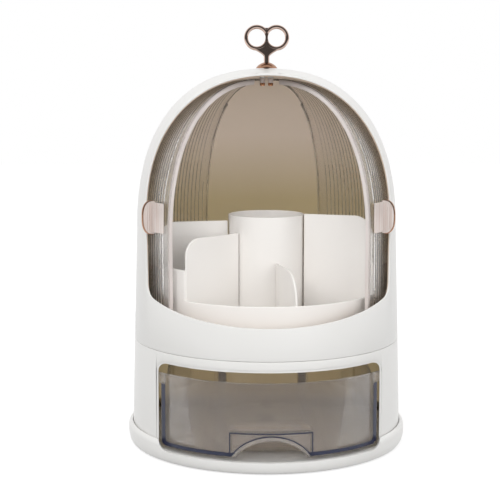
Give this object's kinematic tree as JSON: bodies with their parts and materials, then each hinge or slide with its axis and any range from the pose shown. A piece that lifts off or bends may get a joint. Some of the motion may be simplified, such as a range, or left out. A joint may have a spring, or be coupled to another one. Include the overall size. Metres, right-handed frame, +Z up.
{
  "type": "rotating makeup organizer",
  "caption": "Domed cabinet on a turntable, with two clear sliding doors over a divided tray and brush cup, a clear drawer below and a key-shaped handle on top.",
  "frame": {"origin": "middle of the base, on the surface that the organizer stands on", "axes": "+Z up along the turntable's axis, front with the drawer and doors faces -Y, +X to the right seen from the front"},
  "size_m": [0.2768, 0.2768, 0.4125],
  "materials": {
    "white_abs": "moulded, satin white",
    "warm_white_abs": "moulded, warm white",
    "tea_translucent": "moulded, tea brown",
    "smoky_clear": "moulded, smoky and clear",
    "clear_ribbed": "moulded, clear with fine ribs",
    "rose_gold": "plated, bright rose gold",
    "steel": "zinc plated",
    "black_abs": "moulded, black",
    "rubber": "matt"
  },
  "bodies": {
    "base": {"turntable_base": "black_abs", "grip_pad_1": "rubber", "grip_pad_2": "rubber", "grip_pad_3": "rubber", "grip_pad_4": "rubber", "grip_pad_5": "rubber", "spindle": "steel", "spindle_washer": "steel", "spindle_nut": "steel"},
    "ball_ring": {"ball_cage": "white_abs", "bearing_ball_1": "steel", "bearing_ball_2": "steel", "bearing_ball_3": "steel", "bearing_ball_4": "steel", "bearing_ball_5": "steel", "bearing_ball_6": "steel"},
    "cabinet": {"foot_plate": "white_abs", "drum_front": "white_abs", "drum_back": "tea_translucent", "deck": "white_abs", "rear_post_left": "white_abs", "rear_post_right": "white_abs", "floor_screw_left": "steel", "floor_screw_right": "steel", "deck_screw_left": "steel", "deck_screw_right": "steel", "drawer_rail_left": "white_abs", "drawer_rail_right": "white_abs", "door_guide": "white_abs", "tray": "warm_white_abs", "brush_cup": "warm_white_abs", "arch_frame": "white_abs", "rear_dome": "tea_translucent", "pivot_bracket": "white_abs", "pivot_pin_left": "rose_gold", "pivot_pin_right": "rose_gold", "key_cap": "rose_gold", "key_handle": "rose_gold"},
    "drawer": {"drawer": "smoky_clear"},
    "door_left": {"door_left": "clear_ribbed", "grip_left": "rose_gold"},
    "door_right": {"door_right": "clear_ribbed", "grip_right": "rose_gold"}
  },
  "joints": [
    {"name": "cabinet_turn", "type": "hinge", "parent": "base", "child": "cabinet", "pos_m": [0, 0, 0], "axis": [0, 0, 1], "continuous": true},
    {"name": "ball_ring_turn", "type": "hinge", "parent": "base", "child": "ball_ring", "pos_m": [0, 0, 0], "axis": [0, 0, 1], "continuous": true},
    {"name": "drawer_slide", "type": "slide", "parent": "cabinet", "child": "drawer", "axis": [0, -1, 0], "range_m": [0, 0.13]},
    {"name": "door_left_swing", "type": "hinge", "parent": "cabinet", "child": "door_left", "pos_m": [-0.004, 0, 0], "axis": [0, 0, 1], "range_deg": [0, 52.5]},
    {"name": "door_right_swing", "type": "hinge", "parent": "cabinet", "child": "door_right", "pos_m": [0.004, 0, 0], "axis": [0, 0, -1], "range_deg": [0, 52.5]}
  ],
  "couplings": [
    {"joint": "ball_ring_turn", "follows": "cabinet_turn", "ratio": 0.5}
  ]
}
